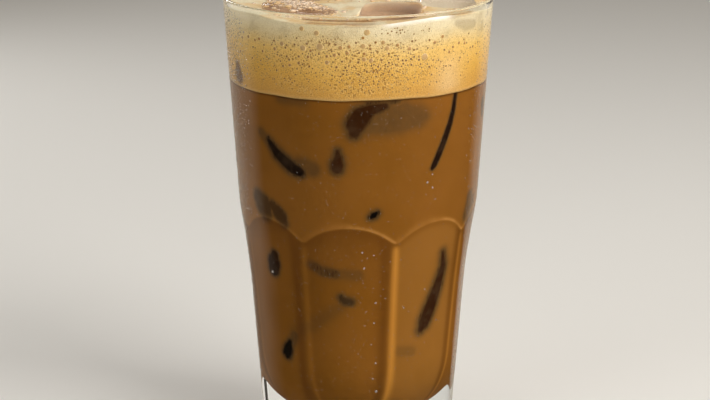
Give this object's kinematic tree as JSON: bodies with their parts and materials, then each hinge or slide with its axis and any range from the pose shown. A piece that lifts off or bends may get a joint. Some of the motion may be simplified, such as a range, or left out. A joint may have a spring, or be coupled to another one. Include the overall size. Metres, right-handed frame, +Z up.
{
  "type": "iced coffee in a glass",
  "caption": "Iced coffee with a deep foam cap and ice cubes in a tall pressed-glass tumbler with arched panels round its lower body.",
  "frame": {"origin": "middle of the glass's foot ring, on the surface it stands on", "axes": "+Z up along the glass's axis, -Y towards the front that the picture shows, +X to that view's right"},
  "size_m": [0.088, 0.088, 0.155],
  "materials": {
    "tumbler_glass": "clear pressed glass, fire polished, misted with fine condensation",
    "milky_coffee": "opaque milky coffee, smooth and wet, darker where ice lies against the glass",
    "coffee_foam": "fine foam with pin bubbles, cream on top and golden tan below",
    "ice": "clear wet ice with melted edges, faintly cloudy inside"
  },
  "bodies": {
    "root": {"glass": "tumbler_glass", "coffee": "milky_coffee", "foam": "coffee_foam", "ice_front": "ice", "ice_left": "ice", "ice_right": "ice", "ice_back": "ice", "ice_back_left": "ice"}
  },
  "joints": []
}
